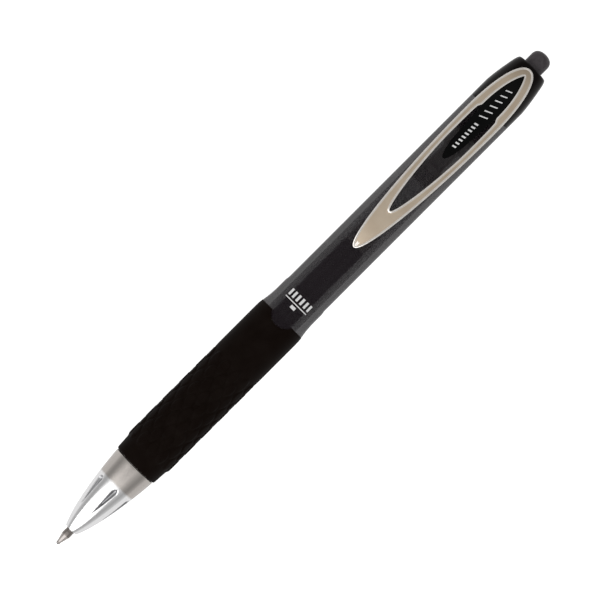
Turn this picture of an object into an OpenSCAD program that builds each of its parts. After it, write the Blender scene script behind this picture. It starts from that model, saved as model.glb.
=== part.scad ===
// Retractable gel pen, lying on its side with the clip on top.
// The origin is under the middle of the pen, on the surface that it lies on.
// +X runs from the writing point to the push button, and +Z is up.
// A station is a distance in millimetres along the pen from the writing point.

/* [Lengths] */
// How far the writing point stands out of the nose
point_out_l = 4.15; // [3.5:0.05:5]
// Length of the metal nose that shows
nose_l = 18.85; // [16:0.05:24]
// Length of the rubber grip
grip_l = 43.2; // [38:0.1:56]
// Length of the clear barrel from the grip to the collar
barrel_l = 61.2; // [56:0.1:76]
// Length of the collar that shows
collar_l = 12.5; // [10.6:0.1:16]
// How far the push button stands out when the pen writes
button_out_l = 4; // [2.6:0.1:7]

/* [Travel] */
// Travel of the button from the writing lock to the retracted rest
retract_l = 5.5; // [4.6:0.1:6.6]
// Travel of the button past the writing lock
overtravel_l = 1.6; // [1.2:0.1:2]

/* [Barrel and grip] */
// Outside radius of the barrel
barrel_r = 5.155; // [5.1:0.005:6.4]
// Radius of the barrel's bore
bore_r = 3.9; // [3.8:0.01:4]
// Wall of the barrel under the grip
under_grip_t = 0.85; // [0.7:0.05:1]
// Radius of the smooth rear half of the grip
grip_r = 5.85; // [5.5:0.01:7.1]
// Width of the flat that the soft grip settles to where the pen lies on it
rest_flat_w = 2.45; // [2:0.05:2.7]
// Depth of the rings around the front half of the grip
ring_depth = 0.2; // [0.05:0.01:0.3]
// Distance from one grip ring to the next
ring_pitch = 4.9; // [4:0.1:6]
// Number of grip rings
ring_count = 5; // [3:1:5]
// Radius of the notch in the grip's rear edge
notch_r = 3.2; // [2.6:0.1:3.8]
// Depth of that notch
notch_l = 1.8; // [1:0.1:2.4]

/* [Nose] */
// Radius of the opening that the point comes through
nose_hole_r = 1.15; // [1.1:0.01:1.25]
// Width of the flat rim around that opening
nose_rim_w = 0.4; // [0.3:0.05:0.6]
// Radius of the nose where it meets the grip
nose_r = 5.08; // [4.9:0.01:6.1]
// Length of the threaded spigot inside the barrel
spigot_l = 8; // [6:0.5:10]
// Wall of that spigot
spigot_t = 0.65; // [0.55:0.05:0.7]
// Number of flutes in the nose
flute_count = 6; // [4:1:8]
// Distance from the nose's front end to the flutes' pointed ends
flute_start = 5.6; // [5:0.1:8]
// Length of a flute
flute_l = 7; // [5:0.1:9]
// Radius of a flute's round end
flute_r = 0.7; // [0.5:0.05:0.9]
// Turn of the flutes away from the clip
flute_turn = 11.8; // [0:0.1:30]

/* [Clip] */
// Distance from the collar's front edge to the clip's free end
clip_reach = 40.3; // [38:0.1:46]
// Half of the clip's greatest width
clip_hw = 4.1; // [3.7:0.05:5]
// Height of the clip's top above the barrel's wall
clip_h = 3.15; // [2.9:0.05:4]
// Thickness of the clip
clip_t = 0.9; // [0.7:0.05:1.1]
// Half of the window's greatest width
window_hw = 2.65; // [2.4:0.05:3]
// Half of the insert's greatest width
insert_hw = 1.9; // [1.6:0.05:2]

/* [Push button] */
// Radius of the push button
button_r = 2.3; // [2:0.05:2.4]
// Wall of the hollow button
button_t = 0.55; // [0.4:0.05:0.7]
// Outside radius of the keys that slide in the guide sleeve
key_r = 2.85; // [2.7:0.01:2.88]
// Wall of the guide sleeve behind its ribs
guide_t = 0.43; // [0.35:0.01:0.5]
// Radius inside the guide sleeve's ribs
rib_r = 2.62; // [2.55:0.01:2.66]

/* [Refill] */
// Length of the refill with its point
refill_l = 111; // [107:0.5:114]
// Outside radius of the refill tube
tube_r = 3.05; // [2.95:0.01:3.1]
// Wall of the refill tube
tube_t = 0.45; // [0.35:0.05:0.5]
// Distance from the writing point to the top of the ink
ink_end = 87.7; // [50:0.1:95]
// Length of the grease plug that follows the ink
follower_l = 5; // [3:0.5:7]
// Radius of the writing ball
ball_r = 0.35; // [0.25:0.05:0.4]
// Radius of the point's round shank
shank_r = 0.98; // [0.9:0.01:1.02]
// Length of the point's cone
cone_l = 2.5; // [2:0.1:3]

/* [Springs] */
// Radius of the return spring's wire
wire_r = 0.19; // [0.14:0.01:0.22]
// Number of turns of the return spring
spring_turns = 8; // [6:1:9]
// Radius of the ball spring's wire
fine_wire_r = 0.07; // [0.05:0.01:0.08]

/* [Fits] */
// Gap around parts that are pressed or glued together
press_gap = 0.02; // [0.01:0.005:0.03]
// Gap around parts that run in one another
run_gap = 0.05; // [0.03:0.01:0.08]
// Gap between the clip and what it moves past
clip_gap = 0.15; // [0.1:0.05:0.25]
// Gap between end faces of parts that move apart
end_gap = 0.1; // [0.05:0.05:0.2]

/* [Hidden] */
$fn = 96;

// Stations of the parts that show
nose_start = point_out_l;
nose_end = nose_start + nose_l;
grip_start = nose_end + end_gap;
grip_end = grip_start + grip_l;
collar_start = grip_end + barrel_l;
collar_end = collar_start + collar_l;
overall_l = collar_end + button_out_l;

// Barrel
under_grip_r = bore_r + under_grip_t;
flare_r = barrel_r + 0.52;
flare_l = 3.7;
axis_h = max(sqrt(pow(grip_r, 2) - pow(rest_flat_w / 2, 2)), flare_r);
bead_r = barrel_r + 0.145;
bead_l = 2.6;

// Nose
spigot_r = bore_r - run_gap;
nose_bore_r = spigot_r - spigot_t;
spring_seat = nose_start + 5.45;
spring_room_r = 2.75;
front_room_r = 1.65;
front_wall_l = 1.85;
tube_room_start = nose_end - 4.5;
flute_depth = 0.45;

// Refill
ink_r = tube_r - tube_t - press_gap;
shank_end = 11;
holder_start = nose_start + front_wall_l + overtravel_l + 0.3;
holder_r = 1.8;
holder_nose_r = 1.45;
flange_l = 1.2;
flange_r = 2.55;
tube_start = nose_end - 1.2;
holder_end = tube_start + 4.2;
ink_channel_r = 0.5;
valve_room_r = 1.0;
valve_ball_r = 0.85;
valve_start = tube_start + 0.6;
valve_l = 2.3;
plug_l = 3;
plug_head_l = 1.5;
vent_r = 0.8;

// Click mechanism: the rotor follows the refill, and the guide follows the collar
guide_r = key_r + 0.1 + guide_t;
guide_bore_r = key_r + 0.1;
collar_bore_r = guide_r + press_gap;
rotor_start = refill_l + end_gap;
guide_start = collar_start - 6.5;
guide_end = collar_start + 7;
plug_start = guide_start - 0.6;
collar_wall_l = 1;
room_r = key_r + 0.15;
button_hole_r = button_r + run_gap + 0.1;
core_r = rib_r - 0.17;
tooth_h = 1.2;
vane_l = 4.3;
vane_end = guide_start - 0.3;
rotor_end = vane_end + tooth_h;
crown_start = rotor_end + end_gap + 0.2;
crown_end = collar_end - collar_wall_l - retract_l - 0.3;
crown_bore_r = 1.55;
key_w = 1.2;
rib_count = 4;

// Clip, with its curves drawn from the free end to the root
clip_start = collar_start - clip_reach;
clip_end = collar_end - 0.9;
clip_wide = collar_start - 3;
clip_top = barrel_r + clip_h;
tip_z = barrel_r + 1.2;
root_z = barrel_r - 0.05;
window_start = clip_start + 10.6;
window_wide = collar_start - 8.9;
window_end = clip_end - 1.8;
insert_start = collar_start - 14.2;
insert_drop = 0.12;
foot_start = collar_start + 1.2;
foot_l = 5;
foot_hw = 1.1;
foot_depth = 0.5;
nib_r = 1.15;
nib_at = clip_start + 3.8;
tab_l = 0.7;
tab_hw = 0.8;
tab_at = collar_end - 2.6;
tab_depth = 0.45;

// Points of a cubic curve
function curve(a, b, c, d, n = 12) = [
    for (i = [0:n]) let (t = i / n, u = 1 - t)
        u * u * u * a + 3 * u * u * t * b + 3 * u * t * t * c + t * t * t * d
];
function shifted(points, by) = [for (p = points) p + by];
function backwards(points) = [for (i = [len(points) - 1:-1:0]) points[i]];
function flipped(points) = [for (p = backwards(points)) [p[0], -p[1]]];

// Puts a part that is drawn around Z, with Z as its station, in its place in the pen
module along_pen() {
    translate([-overall_l / 2, 0, axis_h]) rotate([0, 90, 0]) children();
}

// A turned part from its outline, given as [radius, station]
module turned(outline) {
    along_pen() rotate_extrude() polygon(outline);
}

// A plain tube, or a rod where its inside radius is 0
module tube(r, inside_r, start, end) {
    turned([[inside_r, start], [r, start], [r, end], [inside_r, end]]);
}

// A block drawn as [station, across, height above the pen's axis]
module in_pen() {
    translate([-overall_l / 2, 0, axis_h]) children();
}

// A flat outline of [station, across] that stands from one height to another
module standing(outline, low, high) {
    in_pen() translate([0, 0, low]) linear_extrude(high - low) polygon(outline);
}

// A side outline of [station, height] that reaches half_w to each side
module side_band(outline, half_w) {
    in_pen() translate([0, half_w, 0]) rotate([90, 0, 0]) linear_extrude(2 * half_w) polygon(outline);
}

// A coiled wire around the pen's axis, close-wound for one turn at each end
module coil(r, thickness, start, end, turns, steps = 16, sides = 6) {
    total = turns * steps;
    closed = steps;
    pitch_sum = end - start - 2 * thickness;
    close_rise = 2.1 * thickness;
    open_rise = (pitch_sum - 2 * close_rise) / (total - 2 * closed);
    function station(i) = start + thickness + (
        i < closed ? i * close_rise / closed
        : i > total - closed ? pitch_sum - (total - i) * close_rise / closed
        : close_rise + (i - closed) * open_rise
    );
    rings = [
        for (i = [0:total]) let (turn = 360 * i / steps)
            for (k = [0:sides - 1]) let (
                side = 360 * k / sides,
                out = r + thickness * cos(side)
            ) [out * cos(turn), out * sin(turn), station(i) + thickness * sin(side)]
    ];
    walls = [
        for (i = [0:total - 1]) for (k = [0:sides - 1]) let (
            a = i * sides + k,
            b = i * sides + (k + 1) % sides
        ) each [[a, b, b + sides], [a, b + sides, a + sides]]
    ];
    first = [for (k = [sides - 1:-1:0]) k];
    last = [for (k = [0:sides - 1]) total * sides + k];
    along_pen() polyhedron(rings, concat(walls, [first, last]));
}

// Keys or vanes around a sliding part
module keys(r, from_r, start, end, width, count) {
    for (i = [0:count - 1])
        along_pen() rotate([0, 0, 360 * (i + 0.5) / count])
            intersection() {
                translate([from_r, -width / 2, start]) cube([r - from_r + 1, width, end - start]);
                translate([0, 0, start]) cylinder(r = r, h = end - start);
            }
}

// Sloping teeth cut into the end of a sliding part, each one a wedge across a quarter
module tooth_cuts(r, start, end, count) {
    for (i = [0:count - 1])
        along_pen() rotate([0, 0, 360 * i / count]) rotate([90, 0, 90])
            linear_extrude(r + 1) polygon([[0, end], [0, start], [r * 0.9, end]]);
}

// Bored nose of polished metal, with a threaded spigot that enters the barrel
nose_curve = curve(
    [nose_hole_r + nose_rim_w, nose_start],
    [nose_hole_r + nose_rim_w + 1.5, nose_start + 3.2],
    [nose_r - 0.65, nose_end - 8.6],
    [nose_r, nose_end - 0.5], 20
);
module nose_cone() {
    color("silver") difference() {
        turned(concat(nose_curve, [
            [nose_r, nose_end],
            [spigot_r, nose_end],
            [spigot_r, nose_end + spigot_l - 0.4],
            [spigot_r - 0.3, nose_end + spigot_l],
            [nose_bore_r, nose_end + spigot_l],
            [nose_bore_r, tube_room_start],
            [spring_room_r, tube_room_start - 0.5],
            [spring_room_r, spring_seat],
            [front_room_r, spring_seat],
            [front_room_r, nose_start + front_wall_l + 0.5],
            [nose_hole_r, nose_start + front_wall_l],
            [nose_hole_r, nose_start]
        ]));
        for (i = [0:flute_count - 1]) flute(360 * i / flute_count + flute_turn);
    }
}

// One teardrop flute: a cone that dips into the nose along its slope
module flute(turn) {
    tail = nose_start + flute_start;
    head = tail + flute_l;
    tail_r = lookup(tail, nose_slope) + flute_r * 0.2;
    head_r = lookup(head, nose_slope) + flute_r - flute_depth;
    lean = atan((head_r - tail_r) / (head - tail));
    along_pen() rotate([0, 0, 180 + turn]) translate([tail_r, 0, tail]) rotate([0, lean, 0]) {
        cylinder(r1 = 0.1, r2 = flute_r, h = flute_l - flute_r);
        translate([0, 0, flute_l - flute_r]) sphere(r = flute_r);
    }
}
nose_slope = [for (p = nose_curve) [p[1], p[0]]];

// Steel spring between the nose's inner seat and the refill's flange
module return_spring() {
    color("lightgray") coil(2.25, wire_r, spring_seat + 0.02, tube_start - flange_l - 0.02, spring_turns);
}

// Smoked clear barrel: necked under the grip, with a flared shoulder, a bead and a grip key
module barrel() {
    color("dimgray", 0.5) {
        turned([
            [bore_r, grip_start],
            [under_grip_r, grip_start],
            [under_grip_r, grip_end],
            [flare_r, grip_end],
            [flare_r - 0.17, grip_end + flare_l * 0.3],
            [flare_r - 0.3, grip_end + flare_l * 0.65],
            [bead_r, grip_end + flare_l],
            [bead_r, grip_end + flare_l + bead_l],
            [barrel_r, grip_end + flare_l + bead_l + 1],
            [barrel_r, collar_start],
            [bore_r, collar_start]
        ]);
        intersection() {
            tube(flare_r, under_grip_r - 0.1, grip_end - notch_l, grip_end + 0.1);
            notch(notch_r - press_gap);
        }
    }
}

// The rounded notch in the grip's rear edge, under the clip
module notch(r) {
    in_pen() translate([grip_end - notch_l + notch_r, 0, 0]) cylinder(r = r, h = grip_r + 1);
}

// Soft grip pulled over the barrel, with rings around its front half
ring_start = grip_start + 4.9;
module grip_sleeve() {
    inner = under_grip_r + press_gap;
    valley = grip_r - ring_depth;
    taper = min(0.7, 0.65 * (grip_r - inner));
    color([0.06, 0.06, 0.06]) difference() {
        turned(concat(
            [[inner, grip_start], [grip_r - taper, grip_start]],
            [[grip_r - taper * 0.48 / 0.7, grip_start + 0.25]],
            [[grip_r - taper * 0.3 / 0.7, ring_start - 0.6]],
            [for (i = [0:ring_count - 1]) let (at = ring_start + i * ring_pitch) each [
                [valley, at],
                [grip_r, at + 0.5],
                [grip_r, at + ring_pitch * 0.5],
                [valley, at + ring_pitch * 0.5 + 0.5]
            ]],
            [
                [valley, ring_start + ring_count * ring_pitch - 0.5],
                [grip_r, ring_start + ring_count * ring_pitch],
                [grip_r, grip_end - 1.6],
                [grip_r - 0.1, grip_end - 0.6],
                [flare_r, grip_end],
                [inner, grip_end]
            ]
        ));
        notch(notch_r);
        translate([-overall_l / 2, -grip_r, -grip_r]) cube([overall_l, 2 * grip_r, grip_r]);
    }
}

// Opaque collar plugged into the barrel; it holds the clip, the insert and the guide
module collar() {
    shoulder = collar_start + 4.1;
    color([0.12, 0.12, 0.12]) difference() {
        turned(concat(
            [
                [collar_bore_r, plug_start],
                [bore_r - press_gap, plug_start],
                [bore_r - press_gap, collar_start],
                [barrel_r, collar_start]
            ],
            curve([barrel_r, shoulder], [barrel_r - 0.12, shoulder + 2.2],
                [barrel_r - 0.62, shoulder + 5], [barrel_r - 1.03, collar_end - 1.3], 8),
            [
                [barrel_r - 1.25, collar_end - 0.5],
                [barrel_r - 1.6, collar_end],
                [button_hole_r, collar_end],
                [button_hole_r, collar_end - collar_wall_l],
                [room_r, collar_end - collar_wall_l],
                [room_r, guide_end],
                [collar_bore_r, guide_end]
            ]
        ));
        in_pen() translate([foot_start - press_gap, -foot_hw - press_gap, barrel_r - foot_depth])
            cube([foot_l + 2 * press_gap, 2 * (foot_hw + press_gap), 2]);
        in_pen() translate([tab_at - clip_gap, -tab_hw - clip_gap, barrel_r - 1 - tab_depth - clip_gap])
            cube([tab_l + 2 * clip_gap, 2 * (tab_hw + clip_gap), 2]);
    }
}

// The clip's top line and outlines
clip_line = concat(
    curve([clip_start, tip_z], [clip_start + 2.8, clip_top - 1], [clip_start + 12.8, clip_top],
        [clip_start + 29, clip_top], 14),
    curve([clip_start + 29, clip_top], [clip_end - 12, clip_top], [clip_end - 3.7, clip_top - 0.9],
        [clip_end, root_z], 14)
);
clip_edge = concat(
    curve([clip_start, 0], [clip_start, 2.3], [clip_start + 17.8, clip_hw], [clip_wide, clip_hw]),
    curve([clip_wide, clip_hw], [clip_wide + 8.5, clip_hw], [clip_end, 2.6], [clip_end, 0])
);
window_front = curve([window_start, 0], [window_start, 1], [window_start + 11.2, window_hw],
    [window_wide, window_hw]);

// The pointed rear of the window, and of the insert that fills it with a gap to spare
function leaf_rear(half_w, end) = curve([collar_start - 1, half_w], [collar_start + 3.3, half_w],
    [end - 2.5, half_w - 0.6], [end, 0]);

// Pressed metal clip with a long window, a nib under its free end and a tab at its root
module clip_frame() {
    side = concat(clip_line, shifted(backwards(clip_line), [0, -clip_t]));
    window = concat(window_front, [[collar_start - 1.2, window_hw - 0.2]],
        leaf_rear(insert_hw + clip_gap, window_end));
    nib_h = lookup(nib_at, clip_line) - barrel_r - clip_t / 2;
    color([0.78, 0.75, 0.7]) {
        intersection() {
            side_band(side, clip_hw + 1);
            difference() {
                standing(concat(clip_edge, flipped(clip_edge)), 0, clip_top + 1);
                standing(concat(window, flipped(window)), 0, clip_top + 1);
            }
        }
        in_pen() intersection() {
            translate([nib_at, 0, barrel_r + end_gap + nib_r]) sphere(r = nib_r);
            translate([nib_at - nib_r, -nib_r, barrel_r]) cube([2 * nib_r, 2 * nib_r, nib_h]);
        }
        root_tab();
    }
}
module root_tab() {
    in_pen() translate([tab_at, -tab_hw, barrel_r - 1 - tab_depth]) cube([tab_l, 2 * tab_hw, 2]);
}

// Black insert that fills the rear of the window and stands on a foot in the collar
module clip_insert() {
    front = curve([insert_start, 0], [insert_start, 1.1], [insert_start + 5, insert_hw - 0.1],
        [collar_start - 1, insert_hw]);
    leaf = concat(front, leaf_rear(insert_hw, window_end - 2 * clip_gap));
    top = shifted(clip_line, [0, -insert_drop]);
    side = concat(top, shifted(backwards(top), [0, -clip_t]));
    color([0.02, 0.02, 0.02]) {
        intersection() {
            side_band(side, insert_hw + 1);
            standing(concat(leaf, flipped(leaf)), 0, clip_top + 1);
        }
        in_pen() translate([foot_start, -foot_hw, barrel_r - foot_depth])
            cube([foot_l, 2 * foot_hw, clip_h - clip_t - insert_drop + foot_depth - 0.6]);
    }
}

// Hollow domed button that the thumb pushes, pressed into the thrust tube
module knock_button() {
    dome = curve([button_r, overall_l - 1.9], [button_r, overall_l - 0.55], [1.25, overall_l], [0, overall_l], 10);
    color("dimgray", 0.7) turned(concat(
        [
            [crown_bore_r - press_gap, crown_end - 4],
            [crown_bore_r - press_gap, crown_end],
            [button_r, crown_end]
        ],
        dome,
        [
            [0, overall_l - button_t],
            [button_r - button_t - 0.7, overall_l - button_t],
            [button_r - button_t, overall_l - button_t - 1.4],
            [button_r - button_t, crown_end + 1],
            [crown_bore_r - button_t, crown_end],
            [crown_bore_r - button_t, crown_end - 4]
        ]
    ));
}

// Toothed tube that the button pushes, with keys that slide in the guide sleeve
module thrust_tube() {
    color("white") {
        difference() {
            tube(core_r, crown_bore_r, crown_start, crown_end);
            tooth_cuts(core_r, crown_start + tooth_h, crown_start, rib_count);
        }
        keys(key_r, core_r - 0.2, crown_start + 2.6, crown_end - 0.4, key_w, rib_count);
    }
}

// Rotor that turns a step with each click, with vanes that drop into the guide's slots
module cam_rotor() {
    color("ivory") {
        difference() {
            turned([
                [0, rotor_start],
                [1.9, rotor_start],
                [1.9, vane_end - vane_l - 0.6],
                [core_r, vane_end - vane_l],
                [core_r, rotor_end],
                [0, rotor_end]
            ]);
            tooth_cuts(core_r, vane_end, rotor_end, rib_count);
        }
        keys(key_r, core_r - 0.2, vane_end - vane_l, vane_end, key_w, rib_count);
    }
}

// Guide sleeve inside the collar, with ribs that lock the rotor's vanes
module guide_sleeve() {
    slot_w = key_w + 2 * run_gap;
    color("gainsboro") difference() {
        tube(guide_r, rib_r, guide_start, guide_end);
        keys(guide_bore_r, rib_r - 0.5, guide_start - 0.1, guide_end + 0.1, slot_w, rib_count);
    }
}

// Refill tube and what is in it
module refill_tube() {
    color("white", 0.5) tube(tube_r, tube_r - tube_t, tube_start, refill_l - plug_head_l);
}
module refill_plug() {
    color("white") turned([
        [vent_r, refill_l - plug_head_l - plug_l],
        [ink_r, refill_l - plug_head_l - plug_l],
        [ink_r, refill_l - plug_head_l],
        [tube_r, refill_l - plug_head_l],
        [tube_r, refill_l],
        [vent_r, refill_l]
    ]);
}
module ink_column() {
    color([0.03, 0.03, 0.05]) tube(ink_r, 0, holder_end + press_gap, ink_end);
}
module ink_follower() {
    color("khaki", 0.6) tube(ink_r, 0, ink_end, ink_end + follower_l);
}

// Moulded holder between the refill tube and the metal point, with a valve room
module tip_holder() {
    color("whitesmoke") turned([
        [shank_r + press_gap, holder_start],
        [holder_nose_r - 0.15, holder_start],
        [holder_nose_r, holder_start + 0.4],
        [holder_nose_r, holder_start + 2.5],
        [holder_r, holder_start + 4],
        [holder_r, tube_start - flange_l],
        [flange_r, tube_start - flange_l],
        [tube_r, tube_start - flange_l + 0.4],
        [tube_r, tube_start],
        [ink_r, tube_start],
        [ink_r, holder_end],
        [valve_ball_r - 0.15, holder_end],
        [valve_ball_r - 0.15, valve_start + valve_l + 0.3],
        [valve_room_r, valve_start + valve_l],
        [valve_room_r, valve_start],
        [ink_channel_r, valve_start - 0.5],
        [ink_channel_r, shank_end + press_gap],
        [shank_r + press_gap, shank_end + press_gap]
    ]);
}
module check_ball() {
    color("silver") along_pen() translate([0, 0, valve_start + valve_ball_r + 0.1]) sphere(r = valve_ball_r);
}

// Turned steel point: a cone with the ball's socket, and a bored shank
module point_tip() {
    lip = ball_r * 0.62;
    color("silver") difference() {
        turned([
            [0, lip],
            [ball_r + 0.05, lip],
            [shank_r - 0.06, cone_l],
            [shank_r, cone_l + 0.1],
            [shank_r, shank_end],
            [0.5, shank_end],
            [0.5, ball_r * 2 + 0.9],
            [0.2, ball_r * 2 + 0.6],
            [0.2, ball_r * 2 - 0.1],
            [0, ball_r * 2 - 0.1]
        ]);
        along_pen() translate([0, 0, ball_r]) sphere(r = ball_r + press_gap);
    }
}
module ball_spring() {
    from = ball_r * 2 + 1.1;
    color("lightgray") {
        coil(0.34, fine_wire_r, from, shank_end - 0.3, 10, 10, 5);
    }
}
module writing_ball() {
    color("gray") along_pen() translate([0, 0, ball_r]) sphere(r = ball_r);
}

nose_cone();
return_spring();
barrel();
grip_sleeve();
collar();
clip_frame();
clip_insert();
knock_button();
thrust_tube();
cam_rotor();
guide_sleeve();
refill_tube();
refill_plug();
ink_column();
ink_follower();
tip_holder();
check_ball();
point_tip();
ball_spring();
writing_ball();
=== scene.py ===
import math

import bmesh
import bpy
from mathutils import Matrix, Vector


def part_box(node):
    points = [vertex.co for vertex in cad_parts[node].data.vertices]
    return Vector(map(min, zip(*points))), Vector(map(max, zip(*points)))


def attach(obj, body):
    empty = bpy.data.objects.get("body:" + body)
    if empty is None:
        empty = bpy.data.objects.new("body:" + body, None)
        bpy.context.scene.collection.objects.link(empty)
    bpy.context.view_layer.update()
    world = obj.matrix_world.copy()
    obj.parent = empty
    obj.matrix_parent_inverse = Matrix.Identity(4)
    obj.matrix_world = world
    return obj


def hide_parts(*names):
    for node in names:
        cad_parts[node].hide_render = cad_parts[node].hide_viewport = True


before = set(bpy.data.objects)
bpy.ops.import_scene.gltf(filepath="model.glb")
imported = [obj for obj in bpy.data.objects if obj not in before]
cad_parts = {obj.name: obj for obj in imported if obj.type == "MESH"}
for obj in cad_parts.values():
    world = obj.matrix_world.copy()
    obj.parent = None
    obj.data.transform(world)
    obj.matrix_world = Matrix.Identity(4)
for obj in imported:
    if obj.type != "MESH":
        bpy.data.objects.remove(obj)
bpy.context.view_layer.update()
scene = bpy.context.scene

# ---------------------------------------------------------------------------------------------
# Stage: a white table, a grey dome, and one large soft light ahead of the nose and above it.
# The camera looks straight down with a long lens.
# ---------------------------------------------------------------------------------------------
MM = 0.001
MIDDLE = 72.0
VIEW_WIDTH, VIEW_MIDDLE = 0.12493, (-0.0003, 0.0001)
LENS, SENSOR = 250, 36
TABLE_GAP = 0.00015
ink_low, ink_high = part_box("ink_column")
AXIS_Z = (ink_low.z + ink_high.z) / 2
camera = bpy.data.objects.new("camera", bpy.data.cameras.new("camera"))
camera.data.lens, camera.data.sensor_width = LENS, SENSOR
camera.data.clip_start, camera.data.clip_end = 0.01, 20
camera.location = (*VIEW_MIDDLE, AXIS_Z + VIEW_WIDTH * LENS / SENSOR)
camera.rotation_euler = (0, 0, math.radians(-45))
scene.collection.objects.link(camera)
scene.camera = camera
scene.view_settings.view_transform = "Standard"
scene.cycles.transparent_max_bounces = 24


def dome_light(stops):
    """The surroundings as grey levels from below the horizon to straight above."""
    world = bpy.data.worlds.new("dome")
    scene.world = world
    world.use_nodes = True
    nodes, links = world.node_tree.nodes, world.node_tree.links
    direction = nodes.new("ShaderNodeTexCoord")
    split = nodes.new("ShaderNodeSeparateXYZ")
    ramp = nodes.new("ShaderNodeValToRGB")
    while len(ramp.color_ramp.elements) < len(stops):
        ramp.color_ramp.elements.new(0.5)
    for element, (height, grey) in zip(ramp.color_ramp.elements, stops):
        element.position, element.color = height, (grey, grey, grey, 1)
    links.new(direction.outputs["Generated"], split.inputs[0])
    links.new(split.outputs["Z"], ramp.inputs["Fac"])
    links.new(ramp.outputs["Color"], nodes["Background"].inputs["Color"])


def soft_light(name, direction, distance, size, power):
    """A large flat lamp that faces the pen."""
    lamp = bpy.data.lights.new(name, "AREA")
    lamp.shape, lamp.size, lamp.size_y, lamp.energy = "ELLIPSE", *size, power
    holder = bpy.data.objects.new(name, lamp)
    toward = Vector(direction).normalized()
    holder.location = toward * distance
    holder.rotation_euler = toward.to_track_quat("Z", "Y").to_euler()
    scene.collection.objects.link(holder)


dome_light([(0.0, 0.6), (0.4, 0.36), (0.78, 0.6), (0.93, 0.8), (0.99, 0.5)])
soft_light("front_light", (-0.68, 0.03, 0.733), 0.8, (1.5, 0.62), 3.0)


class Flow:
    """A number on its way through a finish; arithmetic on it adds the finish's Math nodes."""

    def __init__(self, finish, socket):
        self.finish, self.socket = finish, socket

    def maths(self, operation, *values, clamp=False):
        settings = {"operation": operation, "use_clamp": clamp}
        node = self.finish.add("Math", settings, dict(enumerate(values)))
        return Flow(self.finish, node.outputs[0])

    def __add__(self, other):
        return self.maths("ADD", self, other)

    def __radd__(self, other):
        return self.maths("ADD", other, self)

    def __sub__(self, other):
        return self.maths("SUBTRACT", self, other)

    def __mul__(self, other):
        return self.maths("MULTIPLY", self, other)

    def __rmul__(self, other):
        return self.maths("MULTIPLY", other, self)

    def stretched(self, low, high):
        """0 at low, 1 at high, and held between them."""
        return self.maths("MULTIPLY", self - low, 1 / (high - low), clamp=True)


class Finish:
    """A material. Fixed values go on the shader's own sockets, and patterns are nodes."""

    def __init__(self, name, colour, roughness, **fixed):
        self.material = bpy.data.materials.new(name)
        self.material.use_nodes = True
        self.tree = self.material.node_tree
        self.shader = self.tree.nodes["Principled BSDF"]
        self.shader.inputs["Base Color"].default_value = (*colour, 1)
        self.shader.inputs["Roughness"].default_value = roughness
        for socket, value in fixed.items():
            self.shader.inputs[socket.replace("_", " ")].default_value = value

    def feed(self, socket, value):
        value = value.socket if isinstance(value, Flow) else value
        if isinstance(value, bpy.types.NodeSocket):
            self.tree.links.new(value, socket)
        else:
            socket.default_value = value

    def add(self, kind, settings=(), sockets=()):
        """Any node: its type, then its settings, then its sockets' values or links."""
        node = self.tree.nodes.new("ShaderNode" + kind)
        for name, value in dict(settings).items():
            setattr(node, name, value)
        for key, value in dict(sockets).items():
            self.feed(node.inputs[key], value)
        return node

    def place(self, stretch=(1, 1, 1)):
        where = self.add("TexCoord").outputs["Object"]
        return self.add("Mapping", {}, {"Vector": where, "Scale": stretch}).outputs["Vector"]

    def noise(self, size, detail=2.0, stretch=(1, 1, 1)):
        """Blotches of about that size in millimetres, longer where the stretch is small."""
        sockets = {"Vector": self.place(stretch), "Scale": 1 / (size * MM), "Detail": detail}
        return Flow(self, self.add("TexNoise", {}, sockets).outputs["Fac"])

    def along(self):
        """The station in millimetres."""
        split = self.add("SeparateXYZ", {}, {"Vector": self.place()})
        return Flow(self, split.outputs["X"]) * (1 / MM) + MIDDLE

    def mixed(self, amount, first, second):
        """The first colour where the amount is 0 and the second where it is 1."""
        pair = [(*c, 1) if isinstance(c, tuple) else c for c in (first, second)]
        sockets = {"Factor": amount, 6: pair[0], 7: pair[1]}
        return self.add("Mix", {"data_type": "RGBA"}, sockets).outputs[2]

    def colours(self, amount, first, second):
        self.feed(self.shader.inputs["Base Color"], self.mixed(amount, first, second))

    def roughness(self, value):
        self.feed(self.shader.inputs["Roughness"], value)

    def relief(self, height, depth):
        """Bumps of that depth in millimetres."""
        bump = self.add("Bump", {}, {"Strength": 1.0, "Distance": depth * MM, "Height": height})
        self.feed(self.shader.inputs["Normal"], bump.outputs["Normal"])


table = bmesh.new()
bmesh.ops.create_grid(table, x_segments=1, y_segments=1, size=4)
bmesh.ops.translate(table, vec=(0, 0, -TABLE_GAP), verts=table.verts)
table_mesh = bpy.data.meshes.new("table")
table.to_mesh(table_mesh)
table_top = bpy.data.objects.new("table", table_mesh)
scene.collection.objects.link(table_top)
table_white = Finish("table white", (0.8, 0.8, 0.8), 0.9, Specular_IOR_Level=0.0,
                     Emission_Color=(1, 1, 1, 1), Emission_Strength=0.8)
mirrored = table_white.add("Emission", {}, {"Strength": 0.85})
ray = table_white.add("LightPath")
either = table_white.add("MixShader", {}, {
    0: ray.outputs["Is Camera Ray"], 1: mirrored.outputs[0], 2: table_white.shader.outputs[0]})
table_white.feed(table_white.tree.nodes["Material Output"].inputs["Surface"], either.outputs[0])
table_mesh.materials.append(table_white.material)

# ---------------------------------------------------------------------------------------------
# Nose: a die-cast ogive, plated and polished. Six teardrop flutes are pressed into it, and a
# threaded spigot behind it screws into the barrel.
# ---------------------------------------------------------------------------------------------
TURN = 2 * math.pi


def spot(station, across, above):
    """A place in the pen: millimetres from the writing point, across it and above its axis."""
    return Vector(((station - MIDDLE) * MM, across * MM, AXIS_Z + above * MM))


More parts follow.
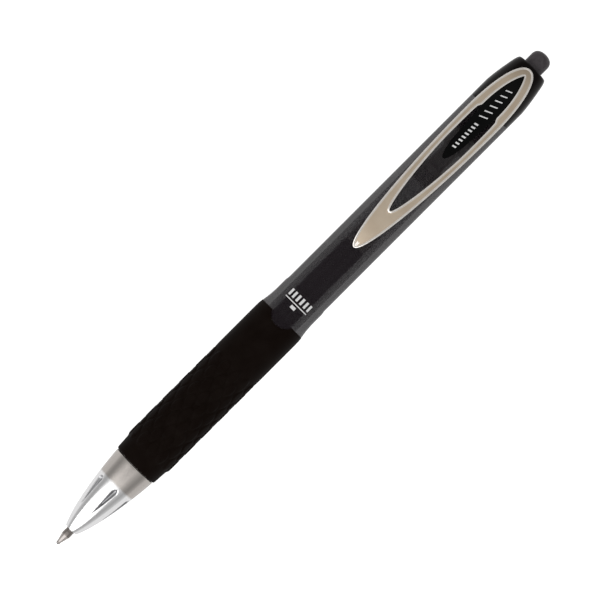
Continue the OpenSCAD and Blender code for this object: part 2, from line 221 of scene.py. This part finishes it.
def curve(a, b, c, d, count):
    """Points of a cubic curve."""
    points = []
    for i in range(count + 1):
        t = i / count
        u = 1 - t
        points.append(tuple(
            u**3 * p + 3 * u * u * t * q + 3 * u * t * t * r + t**3 * s
            for p, q, r, s in zip(a, b, c, d)
        ))
    return points


def height_on(line, station):
    """The second value of a line of (station, value) points, read at a station."""
    if station <= line[0][0]:
        return line[0][1]
    for (s0, v0), (s1, v1) in zip(line, line[1:]):
        if station <= s1:
            return v0 + (v1 - v0) * (station - s0) / max(s1 - s0, 1e-9)
    return line[-1][1]


def turned(outline, steps, closed=True):
    """A turned shape: its outline of (station, radius), spun once round the pen's axis."""
    shape = bmesh.new()
    row = [shape.verts.new(spot(station, 0, radius)) for station, radius in outline]
    pairs = list(zip(row, row[1:])) + ([(row[-1], row[0])] if closed else [])
    edges = [shape.edges.new(pair) for pair in pairs]
    bmesh.ops.spin(
        shape, geom=row + edges, cent=(0, 0, AXIS_Z), axis=(1, 0, 0), dvec=(0, 0, 0),
        angle=TURN, steps=steps, use_merge=True,
    )
    bmesh.ops.remove_doubles(shape, verts=shape.verts, dist=1e-7)
    bmesh.ops.recalc_face_normals(shape, faces=shape.faces)
    return shape


def polar(part):
    """Where a vertex or a face is: its station, radius and angle from the top towards -Y."""
    place = part.calc_center_median() if isinstance(part, bmesh.types.BMFace) else part.co
    across, above = place.y / MM, (place.z - AXIS_Z) / MM
    return place.x / MM + MIDDLE, math.hypot(across, above), math.atan2(-across, above)


def put(vert, station, radius, angle):
    vert.co = spot(station, -radius * math.sin(angle), radius * math.cos(angle))


def piece(name, shape, finishes, body, nodes=(), edge=0.0, sharp=35):
    """Makes an object of a shape, and says what it rides on and which CAD nodes it replaces."""
    mesh = bpy.data.meshes.new(name)
    shape.to_mesh(mesh)
    shape.free()
    for face in mesh.polygons:
        face.use_smooth = True
    for finish in finishes:
        mesh.materials.append(finish.material)
    made = bpy.data.objects.new(name, mesh)
    scene.collection.objects.link(made)
    if edge:
        bevel = made.modifiers.new("edges", "BEVEL")
        bevel.width, bevel.segments, bevel.limit_method = edge * MM, 3, "ANGLE"
        bevel.angle_limit = math.radians(sharp)
        bevel.use_clamp_overlap = True
    mesh.set_sharp_from_angle(angle=math.radians(sharp + 15))
    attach(made, body)
    if nodes:
        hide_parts(*nodes)


def reach(node):
    """The stations at which a CAD node starts and ends."""
    return [round(corner.x / MM + MIDDLE, 3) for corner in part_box(node)]


NOSE_START, SPIGOT_END = reach("nose_cone")
NOSE_END, BAND_START = 23.0, 17.6
SPIGOT_R = 3.85
THREAD_PITCH, THREAD_DEPTH = 1.0, 0.26
FLUTE_TAIL, FLUTE_HEAD = 9.75, 16.9
FLUTE_R, FLUTE_DEPTH = 0.72, 0.5
FLUTES, FLUTE_RUN = 6, 3.0
FLUTE_TURN = math.radians(11.8)

ogive = curve((NOSE_START, 1.5), (7.35, 3.05), (14.4, 4.43), (22.5, 5.08), 128)
front_rim = [(NOSE_START + 0.16, 1.15), (NOSE_START + 0.03, 1.2), (NOSE_START, 1.28)]
shoulder = [(22.8, 5.09), (22.93, 5.06), (NOSE_END, 4.95), (NOSE_END, SPIGOT_R)]
spigot = [(NOSE_END + 0.1 * i, SPIGOT_R) for i in range(1, 77)]
bore = [
    (SPIGOT_END, 3.5), (SPIGOT_END, 3.2), (18.5, 3.2), (18.0, 2.75), (9.6, 2.75),
    (9.6, 1.65), (6.5, 1.65), (6.0, 1.15),
]
nose_shape = turned(front_rim + ogive + shoulder + spigot + bore, 288)


def flute_depth(station, radius, angle):
    """How deep the nearest flute is there: pointed in front, round and steep behind."""
    if not FLUTE_TAIL < station < FLUTE_HEAD:
        return 0.0
    step = TURN / FLUTES
    off = (angle - FLUTE_TURN + step / 2) % step - step / 2
    centre = FLUTE_HEAD - FLUTE_R
    if station < centre:
        half = FLUTE_R * (0.12 + 0.88 * (station - FLUTE_TAIL) / (centre - FLUTE_TAIL))
    else:
        half = math.sqrt(max(FLUTE_R**2 - (station - centre) ** 2, 0))
    side = abs(off * radius) / max(half, 1e-6)
    if side >= 1:
        return 0.0
    run = min((station - FLUTE_TAIL) / FLUTE_RUN, 1.0)
    return FLUTE_DEPTH * run * (1 - side**2) ** 1.5


sunk = nose_shape.verts.layers.float.new("sunk")
for vert in nose_shape.verts:
    station, radius, angle = polar(vert)
    if station < NOSE_END - 0.5 and radius > 3.0:
        depth = flute_depth(station, radius, angle)
        vert[sunk] = depth / FLUTE_DEPTH
        put(vert, station, radius - depth, angle)
    elif NOSE_END < station < SPIGOT_END - 0.3 and radius > 3.7:
        phase = (station / THREAD_PITCH - angle / TURN) % 1
        fade = min((station - NOSE_END - 0.6) / 0.6, 1) if station > NOSE_END + 0.6 else 0
        groove = max(0.0, 1 - abs(phase - 0.5) * 2.6)
        put(vert, station, radius - THREAD_DEPTH * fade * groove, angle)

nose_plating = Finish("nose plating", (0.80, 0.79, 0.775), 0.13, Metallic=1.0)
lathe_marks = nose_plating.noise(0.05, 3, (1, 0.02, 0.02))
smears = nose_plating.noise(1.6, 3)
band = nose_plating.along().stretched(BAND_START - 0.25, BAND_START + 0.25)
flutes = nose_plating.add("Attribute", {"attribute_name": "sunk"}).outputs["Fac"]
# Painted shade: the sunk flutes are painted much darker than the polished plating round them,
# deepest where the flute is deepest.
painted_flute_shade = Flow(nose_plating, flutes).stretched(0.03, 0.35)
polished = nose_plating.mixed(painted_flute_shade, (0.86, 0.855, 0.86), (0.36, 0.36, 0.37))
nose_plating.colours(band, polished, (0.51, 0.475, 0.445))
nose_plating.roughness(0.15 + 0.05 * smears + 0.06 * band)
nose_plating.relief(lathe_marks * (0.25 + 0.75 * band), 0.0012)
piece("nose", nose_shape, [nose_plating], "nose", ["nose_cone"])

# ---------------------------------------------------------------------------------------------
# Writing point: a turned steel cone on a straight shank, rolled in at its front end to hold
# the writing ball, which is ground tungsten carbide.
# ---------------------------------------------------------------------------------------------
SHANK_R, SHANK_END = 0.98, reach("point_tip")[1]
CONE_END = 2.5
BALL_R = reach("writing_ball")[1] / 2

point_shape = turned([
    (0.24, 0.0), (0.22, 0.26), (0.22, 0.36), (0.27, 0.42), (0.55, 0.46), (0.62, 0.43),
    (CONE_END - 0.1, 0.90), (CONE_END, 0.955), (CONE_END + 0.08, SHANK_R),
    (3.55, SHANK_R), (3.6, 0.94), (3.75, 0.94), (3.8, SHANK_R),
    (SHANK_END, SHANK_R), (SHANK_END, 0.5), (1.6, 0.5), (1.3, 0.0),
], 96, closed=False)
point_steel = Finish("point steel", (0.50, 0.47, 0.44), 0.3, Metallic=1.0)
turning = point_steel.noise(0.04, 2, (1, 0.03, 0.03))
# Painted dark reflection: the shank behind the cone is painted darker than the cone, though both
# are the same steel.
shank = point_steel.along().stretched(CONE_END - 0.05, CONE_END + 0.1)
point_steel.colours(shank, (0.47, 0.435, 0.415), (0.26, 0.235, 0.22))
point_steel.roughness(0.24 + 0.16 * turning)
point_steel.relief(turning, 0.002)
piece("point", point_shape, [point_steel], "refill", ["point_tip"], sharp=20)

ball_shape = bmesh.new()
bmesh.ops.create_icosphere(
    ball_shape, subdivisions=4, radius=BALL_R * MM, matrix=Matrix.Translation(spot(BALL_R, 0, 0)),
)
carbide = Finish("ball carbide", (0.36, 0.36, 0.38), 0.15, Metallic=1.0)
ink_film = carbide.noise(0.2, 2)
carbide.colours(ink_film.stretched(0.45, 0.6), (0.40, 0.40, 0.42), (0.08, 0.08, 0.09))
carbide.roughness(0.12 + 0.2 * ink_film)
piece("ball", ball_shape, [carbide], "ball", ["writing_ball"])

# ---------------------------------------------------------------------------------------------
# Grip: moulded black rubber pulled over the barrel. Staggered oval pads cover its front half,
# its rear half is smooth, and a rounded notch under the clip keys it to the barrel.
# ---------------------------------------------------------------------------------------------
GRIP_START, GRIP_END = reach("grip_sleeve")
GRIP_R, GRIP_INSIDE = 5.85, 4.77
FLARE_R = 5.675
PAD_FIRST, PAD_LAST = 27.4, 52.6
PAD_PITCH, PADS_AROUND = 4.9, 12
PAD_LENGTH, PAD_WIDTH, PAD_RISE = 2.15, 1.22, 0.24
NOTCH_R, NOTCH_CENTRE = 3.2, 67.7
NOTCH_REACH = 60.0


def notch_edge(across):
    """The station of the grip's rear edge at a place across the pen's top."""
    if abs(across) >= NOTCH_R:
        return GRIP_END
    return min(GRIP_END, NOTCH_CENTRE - math.sqrt(NOTCH_R**2 - across**2))


def pad_rise(station, angle):
    """The height of the pad pattern: ovals in rows, each row half a pad round from the last."""
    rise = 0.0
    row = (station - PAD_FIRST - 1.2) / (PAD_PITCH / 2)
    for k in (math.floor(row), math.floor(row) + 1):
        middle = PAD_FIRST + 1.2 + k * PAD_PITCH / 2
        if not PAD_FIRST < middle < PAD_LAST - 1:
            continue
        step = TURN / PADS_AROUND
        off = (angle + (k % 2) * step / 2 + step / 2) % step - step / 2
        away = math.hypot((station - middle) / PAD_LENGTH, off * GRIP_R / PAD_WIDTH)
        rise = max(rise, min(1.0, max(0.0, (1 - away) * 2.6)))
    return rise * rise * (3 - 2 * rise)


grip_rows = [(GRIP_START, GRIP_INSIDE), (GRIP_START, 4.9), (GRIP_START + 0.04, 5.1),
             (GRIP_START + 0.18, 5.26), (GRIP_START + 0.4, 5.34)]
grip_rows += [(GRIP_START + 0.6 + 0.19 * i, GRIP_R) for i in range(223)]
grip_rows += [(GRIP_END - 0.1, GRIP_R), (GRIP_END, FLARE_R + 0.04), (GRIP_END, GRIP_INSIDE)]
grip_shape = turned(grip_rows, 252)
BODY_LINE = curve((23.5, 5.34), (25.6, 5.42), (26.6, 5.58), (28.2, 5.6), 20)
BODY_LINE += [(50.5, 5.63)] + curve((51.5, 5.66), (52.6, 5.84), (53.2, 5.85), (54.5, 5.85), 10)
BODY_LINE += [(64.4, 5.85), (65.4, 5.82), (66.3, FLARE_R + 0.04)]
for vert in grip_shape.verts:
    station, radius, angle = polar(vert)
    if radius > GRIP_INSIDE + 0.7 and station > GRIP_START + 0.5:
        radius = height_on(BODY_LINE, station) + PAD_RISE * pad_rise(station, angle)
    if station > NOTCH_REACH and abs(angle) < 1.2:
        edge = notch_edge(radius * math.sin(angle))
        station = NOTCH_REACH + (station - NOTCH_REACH) * (edge - NOTCH_REACH) / (
            GRIP_END - NOTCH_REACH)
    put(vert, station, radius, angle)
    vert.co.z = max(vert.co.z, 0.0)

grip_rubber = Finish("grip rubber", (0.004, 0.002, 0.001), 0.6, Specular_IOR_Level=0.04)
skin = grip_rubber.noise(0.12, 3)
dust = grip_rubber.noise(3.0, 4)
grip_rubber.colours(dust.stretched(0.35, 0.75), (0.0042, 0.0018, 0.0009), (0.0070, 0.0042, 0.0030))
grip_rubber.roughness(0.5 + 0.2 * dust)
grip_rubber.relief(skin, 0.006)
piece("grip", grip_shape, [grip_rubber], "pen_body", ["grip_sleeve"], sharp=60)

# ---------------------------------------------------------------------------------------------
# Barrel: injection-moulded smoked polystyrene with a clear bore. It flares behind the grip,
# carries a low bead, and its white print is laid on the bead.
# ---------------------------------------------------------------------------------------------
BARREL_R, BORE_R, NECK_R = 5.155, 3.9, 4.75
BARREL_END = reach("barrel")[1]
BEAD_R = 5.3

barrel_line = [(GRIP_END, NECK_R), (GRIP_END, FLARE_R), (66.7, 5.63), (67.41, 5.505),
               (68.1, 5.42), (68.7, 5.375), (69.4, 5.325), (70.0, BEAD_R), (72.6, BEAD_R),
               (72.9, 5.28), (73.2, 5.22), (73.45, 5.175), (73.8, BARREL_R)]
barrel_shape = turned(
    [(GRIP_START, BORE_R), (GRIP_START, NECK_R)] + barrel_line
    + [(BARREL_END, BARREL_R), (BARREL_END, BORE_R)], 160)
for vert in barrel_shape.verts:
    station, radius, angle = polar(vert)
    if abs(station - GRIP_END) < 0.01 and radius > BORE_R + 0.1 and abs(angle) < 1.2:
        put(vert, notch_edge(radius * math.sin(angle)) + 0.02, radius, angle)
for face in barrel_shape.faces:
    face.material_index = int(polar(face)[1] < BORE_R + 0.05)

smoke = Finish("smoked plastic", (0.013, 0.0088, 0.0115), 0.06, Alpha=0.72,
               Specular_IOR_Level=0.1)
scuffs = smoke.noise(0.9, 4, (0.3, 1, 1))
grazing = Flow(smoke, smoke.add("LayerWeight", {}, {"Blend": 0.5}).outputs["Facing"])
smoke.feed(smoke.shader.inputs["Alpha"], 0.71 + 0.3 * grazing * grazing * grazing)
smoke.roughness(0.05 + 0.1 * scuffs.stretched(0.5, 0.9))
smoke_bore = Finish("smoked plastic bore", (0.013, 0.0095, 0.012), 0.15, Alpha=0.34,
                    Specular_IOR_Level=0.16)
flow_marks = smoke_bore.noise(1.5, 3, (0.15, 1, 1))
smoke_bore.roughness(0.12 + 0.12 * flow_marks)
piece("barrel", barrel_shape, [smoke, smoke_bore], "pen_body", ["barrel"],
      edge=0.08, sharp=40)


def printed(shape, start, end, low, high, radius):
    """One stroke of print: a thin curved patch that lies on a round surface."""
    made = bmesh.ops.create_grid(shape, x_segments=4, y_segments=12, size=0.5)["verts"]
    for vert in made:
        along, around = vert.co.x + 0.5, vert.co.y + 0.5
        across = low + (high - low) * around
        put(vert, start + (end - start) * along, radius, across / radius)


PRINT_R = BEAD_R + 0.012
MARKS, MARK_PITCH, MARK_W = 6, 1.08, 0.54
print_shape = bmesh.new()
printed(print_shape, 70.28, 70.5, -3.1, 3.1, PRINT_R)
for i in range(MARKS):
    side = MARK_PITCH * i - 2.98
    printed(print_shape, 70.95, 72.5, side, side + MARK_W, PRINT_R)
printed(print_shape, 69.15, 69.85, -0.6, 0.6, 5.36)
bmesh.ops.recalc_face_normals(print_shape, faces=print_shape.faces)
white_ink = Finish("white print", (0.80, 0.80, 0.79), 0.45)
wear = white_ink.noise(0.25, 3)
white_ink.colours(wear.stretched(0.3, 0.7), (0.86, 0.86, 0.85), (0.70, 0.70, 0.70))
white_ink.relief(wear, 0.002)
piece("barrel_print", print_shape, [white_ink], "pen_body")

# ---------------------------------------------------------------------------------------------
# Collar: gloss black plastic plugged into the barrel. It carries the clip's root and insert,
# and its flat rear end has the hole that the push button slides in.
# ---------------------------------------------------------------------------------------------
COLLAR_START, COLLAR_END = reach("collar")
BUTTON_HOLE_R = 2.45
collar_line = curve((131.6, BARREL_R), (133.8, 5.035), (136.6, 4.535), (138.7, 4.125), 16)
collar_plug = [(COLLAR_START, 3.4), (COLLAR_START, 3.88), (BARREL_END, 3.88),
               (BARREL_END, BARREL_R)]
collar_shape = turned(
    collar_plug + collar_line
    + [(139.2, 3.98), (139.55, 3.86), (139.8, 3.72), (139.93, 3.6), (COLLAR_END, 3.45),
       (COLLAR_END, 2.55), (139.9, BUTTON_HOLE_R), (139.0, BUTTON_HOLE_R), (139.0, 3.0),
       (134.5, 3.0), (134.5, 3.4)], 160)
black_gloss = Finish("collar plastic", (0.004, 0.0022, 0.002), 0.16, Specular_IOR_Level=0.09)
finger_marks = black_gloss.noise(2.2, 4)
black_gloss.roughness(0.12 + 0.16 * finger_marks.stretched(0.4, 0.8))
black_gloss.relief(black_gloss.noise(0.5, 2), 0.0015)
piece("collar", collar_shape, [black_gloss], "pen_body", ["collar"],
      edge=0.06, sharp=40)

# ---------------------------------------------------------------------------------------------
# Clip: pressed from one strip of satin-plated steel. A thin bead runs round its outline and
# its long window, the field between them is sunk, and a nib under its free end grips cloth.
# ---------------------------------------------------------------------------------------------
CLIP_START, CLIP_END = reach("clip_frame")
CLIP_T, CLIP_TIP = 0.9, 88.3
NIB_R, NIB_MIDDLE = 0.8, (91.0, 0, 6.05)
ROOT_MIDDLE, ROOT_SIZE = (137.75, 0, 4.55), (0.7, 1.6, 1.7)
RING_STEPS, FIELD_ROWS = 110, 10
BEAD_STEPS = [(0.0, 0.05), (0.07, 0.0), (0.22, 0.0), (0.29, 0.05), (0.36, 0.10), (0.42, 0.11)]
clip_line = curve((CLIP_START, 6.355), (90.0, 7.305), (100.0, 8.305), (116.2, 8.305), 40)
clip_line += curve((116.2, 8.305), (127.1, 8.305), (135.4, 7.405), (CLIP_END, 5.105), 40)[1:]
clip_edge = curve((CLIP_START, 0), (CLIP_START, 2.3), (105.0, 4.1), (124.5, 4.1), 80)
clip_edge += curve((124.5, 4.1), (133.0, 4.1), (CLIP_END, 2.6), (CLIP_END, 0), 60)[1:]
window_edge = curve((97.8, 0), (97.8, 1.0), (109.0, 2.65), (118.6, 2.65), 60)
window_edge += [(122.0, 2.64), (124.5, 2.60), (126.0, 2.50), (126.45, 2.25), (126.7, 2.08)]
window_edge += curve((127.2, 2.05), (130.8, 2.05), (134.8, 1.45), (137.3, 0), 40)


def spread(edge, count, bunch=0.5):
    """Even places along an outline, by its length, from its front end to its rear end."""
    lengths = [0.0]
    for (s0, y0), (s1, y1) in zip(edge, edge[1:]):
        lengths.append(lengths[-1] + math.hypot(s1 - s0, y1 - y0))
    table = list(zip(lengths, edge))
    stations = [(at, e[0]) for at, e in table]
    widths = [(at, e[1]) for at, e in table]
    whole = lengths[-1]
    points = []
    for i in range(count + 1):
        t = i / count
        t += bunch * (math.sin(TURN * t) / -TURN)
        points.append((height_on(stations, t * whole), height_on(widths, t * whole)))
    return points


def ring(edge, inward, drop):
    """Places round a closed loop: one side's outline moved in its plane, and its mirror image."""
    half = spread(edge, RING_STEPS)
    moved = []
    for before, (s, y), after in zip(half[:1] + half, half, half[1:] + half[-1:]):
        run, rise = after[0] - before[0], after[1] - before[1]
        size = math.hypot(run, rise)
        moved.append(Vector((s + inward * rise / size, y - inward * run / size, -drop)))
    moved[0] = Vector((half[0][0] + inward, 0, -drop))
    moved[-1] = Vector((half[-1][0] - inward, 0, -drop))
    return moved + [Vector((v.x, -v.y, v.z)) for v in reversed(moved[1:-1])]


rings = [ring(clip_edge, *step) for step in BEAD_STEPS]
inner_rings = [ring(window_edge, -inward, drop) for inward, drop in reversed(BEAD_STEPS)]
field_rings = [
    [a.lerp(b, i / FIELD_ROWS) for a, b in zip(rings[-1], inner_rings[0])]
    for i in range(1, FIELD_ROWS)
]
field_from = len(rings)
rings += field_rings + inner_rings

clip_shape = bmesh.new()
place = clip_shape.verts.layers.int.new("place")
row = [clip_shape.verts.new(co) for co in rings[0]]
for i, vert in enumerate(row):
    vert[place] = i
front = [clip_shape.edges.new(pair) for pair in zip(row, row[1:] + row[:1])]
for k in range(1, len(rings)):
    made = bmesh.ops.extrude_edge_only(clip_shape, edges=front)["geom"]
    fresh = [part for part in made if isinstance(part, bmesh.types.BMVert)]
    for vert in fresh:
        vert.co = rings[k][vert[place]]
    front = [part for part in made if isinstance(part, bmesh.types.BMEdge)
             and all(vert in fresh for vert in part.verts)]
    for face in (part for part in made if isinstance(part, bmesh.types.BMFace)):
        # Painted highlight: the field faces at the clip's free end take the bright bead plating, a
        # painted glint on the tip.
        tip = face.calc_center_median().x < CLIP_TIP
        face.material_index = int(field_from <= k < field_from + FIELD_ROWS and not tip)
clip_shape.verts.layers.int.remove(place)
bmesh.ops.recalc_face_normals(clip_shape, faces=clip_shape.faces)
clip_shape.faces.ensure_lookup_table()
if clip_shape.faces[0].normal.z < 0:
    bmesh.ops.reverse_faces(clip_shape, faces=clip_shape.faces)


def thickened(shape, line, thickness, crown=0.0):
    """Gives a flat shape its thickness downwards and bends it to a side line."""
    lower = bmesh.ops.extrude_face_region(shape, geom=shape.faces[:])["geom"]
    lower = [part for part in lower if isinstance(part, bmesh.types.BMVert)]
    bmesh.ops.translate(shape, vec=(0, 0, -thickness), verts=lower)
    bmesh.ops.recalc_face_normals(shape, faces=shape.faces)
    for vert in shape.verts:
        station, across, above = vert.co
        vert.co = spot(station, across, height_on(line, station) + above - crown * across**2)


def block(shape, middle, size):
    """Adds a box of that size in millimetres about a place in the pen."""
    sizes = Matrix.Diagonal((size[0] * MM, size[1] * MM, size[2] * MM, 1))
    bmesh.ops.create_cube(shape, size=1, matrix=Matrix.Translation(spot(*middle)) @ sizes)


thickened(clip_shape, clip_line, CLIP_T)
bmesh.ops.create_uvsphere(
    clip_shape, u_segments=40, v_segments=20, radius=NIB_R * MM,
    matrix=Matrix.Translation(spot(*NIB_MIDDLE)))
block(clip_shape, ROOT_MIDDLE, ROOT_SIZE)
# The bead is polished plating, brighter than the satin field; its bright colour is also partly a
# painted highlight of the light the bead catches.
bead_plating = Finish("clip bead plating", (0.86, 0.82, 0.77), 0.2, Metallic=1.0)
rub = bead_plating.noise(0.8, 3)
bead_plating.colours(rub.stretched(0.3, 0.7), (0.84, 0.79, 0.73), (0.92, 0.88, 0.83))
bead_plating.roughness(0.16 + 0.1 * rub)
field_plating = Finish("clip field plating", (0.52, 0.43, 0.32), 0.34, Metallic=1.0)
grain = field_plating.noise(0.06, 3, (0.04, 1, 1))
handling = field_plating.noise(4.0, 3)
field_plating.colours(handling.stretched(0.3, 0.7), (0.50, 0.41, 0.31), (0.56, 0.47, 0.365))
field_plating.roughness(0.3 + 0.1 * grain + 0.06 * handling)
field_plating.relief(grain, 0.0015)
piece("clip", clip_shape, [bead_plating, field_plating], "clip", ["clip_frame"],
      edge=0.05, sharp=60)

# ---------------------------------------------------------------------------------------------
# Clip insert: a leaf of black acrylic, snapped into the rear of the window with a foot in the
# collar. Its edges are rounded, and a plain row of white strokes is printed on it.
# ---------------------------------------------------------------------------------------------
INSERT_START, INSERT_END = reach("clip_insert")
INSERT_DROP, INSERT_CROWN = 0.10, 0.03
FOOT_MIDDLE, FOOT_SIZE = (131.2, 0, 5.7), (5, 2.2, 2.1)
leaf_edge = curve((INSERT_START, 0.02), (INSERT_START, 1.1), (118.3, 1.8), (126.5, 1.9), 40)
leaf_edge += curve((126.5, 1.9), (130.8, 1.9), (134.5, 1.3), (INSERT_END, 0.02), 40)[1:]
leaf_shape = bmesh.new()
leaf_points = spread(leaf_edge, 90, 0.3)
chains = []
for side in (1, -1):
    verts = [leaf_shape.verts.new(Vector((s, side * y, 0))) for s, y in leaf_points]
    chains += [leaf_shape.edges.new(pair) for pair in zip(verts, verts[1:])]
bmesh.ops.bridge_loops(leaf_shape, edges=chains)
bmesh.ops.subdivide_edges(
    leaf_shape, edges=[e for e in leaf_shape.edges if e not in set(chains)], cuts=7,
    use_grid_fill=True)
leaf_line = [(s, h - INSERT_DROP) for s, h in clip_line]
thickened(leaf_shape, leaf_line, CLIP_T, crown=INSERT_CROWN)
block(leaf_shape, FOOT_MIDDLE, FOOT_SIZE)
acrylic = Finish("insert acrylic", (0.001, 0.001, 0.001), 0.07, Specular_IOR_Level=0.08)
polish = acrylic.noise(1.4, 3)
acrylic.roughness(0.05 + 0.08 * polish)
acrylic.relief(polish, 0.001)
piece("clip_insert_leaf", leaf_shape, [acrylic], "pen_body", ["clip_insert"],
      edge=0.22, sharp=50)

stroke_shape = bmesh.new()
INK_T = 0.014
SHORT_STROKES, SHORT_FROM, SHORT_PITCH, SHORT_W, SHORT_HALF = 8, 116.4, 0.92, 0.38, 0.42
LONG_STROKES, LONG_FROM, LONG_PITCH, LONG_W, LONG_HALF = 6, 125.0, 1.5, 0.28, 0.85


def stroke(start, end, low, high, lean):
    """One stroke of print on the insert's crowned top."""
    made = bmesh.ops.create_grid(stroke_shape, x_segments=3, y_segments=6, size=0.5)["verts"]
    for vert in made:
        along, across = vert.co.x + 0.5, low + (high - low) * (vert.co.y + 0.5)
        station = start + (end - start) * along + lean * across
        lift = height_on(leaf_line, station) - INSERT_CROWN * across**2 + INK_T
        vert.co = spot(station, across, lift)


for k in range(SHORT_STROKES):
    at = SHORT_FROM + SHORT_PITCH * k
    stroke(at, at + SHORT_W, -SHORT_HALF, SHORT_HALF, -0.25)
for k in range(LONG_STROKES):
    at, half = LONG_FROM + LONG_PITCH * k, LONG_HALF - 0.04 * k
    stroke(at, at + LONG_W, -half, half, -0.45)
bmesh.ops.recalc_face_normals(stroke_shape, faces=stroke_shape.faces)
piece("insert_print", stroke_shape, [white_ink], "pen_body")

# ---------------------------------------------------------------------------------------------
# Push button: a hollow domed cap of smoked plastic, pressed into the thrust tube's bore.
# ---------------------------------------------------------------------------------------------
BUTTON_START, PEN_END = reach("knock_button")
BUTTON_R, BUTTON_STEP = 2.3, 133.2
dome = curve((142.1, BUTTON_R), (143.45, BUTTON_R), (PEN_END, 1.25), (PEN_END, 0.0), 24)
button_shape = turned(
    [(BUTTON_START, 1.53), (BUTTON_STEP, 1.53), (BUTTON_STEP, BUTTON_R)] + dome
    + [(143.45, 0.0), (143.45, 1.05), (142.05, 1.75), (BUTTON_STEP + 1, 1.75),
       (BUTTON_STEP, 1.0), (BUTTON_START, 1.0)],
    96)
cap_plastic = Finish("button plastic", (0.066, 0.058, 0.062), 0.3, Specular_IOR_Level=0.1)
thumb_wear = cap_plastic.noise(0.8, 4)
cap_plastic.colours(thumb_wear.stretched(0.3, 0.7), (0.058, 0.051, 0.055), (0.078, 0.070, 0.074))
cap_plastic.roughness(0.18 + 0.2 * thumb_wear)
cap_plastic.relief(cap_plastic.noise(0.2, 2), 0.0015)
piece("button", button_shape, [cap_plastic], "knock", ["knock_button"],
      edge=0.05, sharp=40)

# ---------------------------------------------------------------------------------------------
# Refill: an extruded clear tube of black gel ink with a plug of clear grease behind it, a
# vented plug in its end, and a moulded holder for the point.
# ---------------------------------------------------------------------------------------------
def dress(finish, *names):
    """Gives a finish to CAD nodes that keep their own shapes."""
    for name in names:
        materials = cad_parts[name].data.materials
        materials.clear()
        materials.append(finish.material)


gel = Finish("gel ink", (0.008, 0.007, 0.011), 0.12)
swirls = gel.noise(1.1, 3, (0.3, 1, 1))
gel.colours(swirls.stretched(0.35, 0.7), (0.006, 0.005, 0.009), (0.013, 0.011, 0.018))
dress(gel, "ink_column")
tube_wall = Finish("refill tube", (0.55, 0.56, 0.58), 0.12, Alpha=0.12)
tube_wall.roughness(0.08 + 0.14 * tube_wall.noise(0.6, 3, (0.1, 1, 1)))
dress(tube_wall, "refill_tube")
grease = Finish("follower grease", (0.42, 0.40, 0.33), 0.2, Alpha=0.45)
grease.roughness(0.12 + 0.25 * grease.noise(0.8, 3))
dress(grease, "ink_follower")
moulded = Finish("moulded white", (0.60, 0.60, 0.58), 0.45)
speck = moulded.noise(0.35, 3)
moulded.colours(speck.stretched(0.3, 0.7), (0.57, 0.57, 0.55), (0.66, 0.66, 0.64))
moulded.relief(speck, 0.004)
dress(moulded, "refill_plug", "tip_holder")

# ---------------------------------------------------------------------------------------------
# Click parts: a toothed thrust tube, a rotor and a slotted guide sleeve, all moulded in white
# acetal. The sleeve is pressed into the collar, and the other two slide in it.
# ---------------------------------------------------------------------------------------------
dress(moulded, "thrust_tube", "cam_rotor", "guide_sleeve")

# ---------------------------------------------------------------------------------------------
# Springs and check ball: coils of drawn stainless wire in the nose and behind the writing
# ball, and a ground steel ball that lies loose in the holder.
# ---------------------------------------------------------------------------------------------
wire = Finish("spring wire", (0.55, 0.55, 0.56), 0.3, Metallic=1.0)
drawn = wire.noise(0.05, 3)
wire.colours(drawn.stretched(0.3, 0.7), (0.50, 0.50, 0.51), (0.62, 0.62, 0.63))
wire.roughness(0.24 + 0.16 * drawn)
dress(wire, "return_spring", "check_ball", "ball_spring")
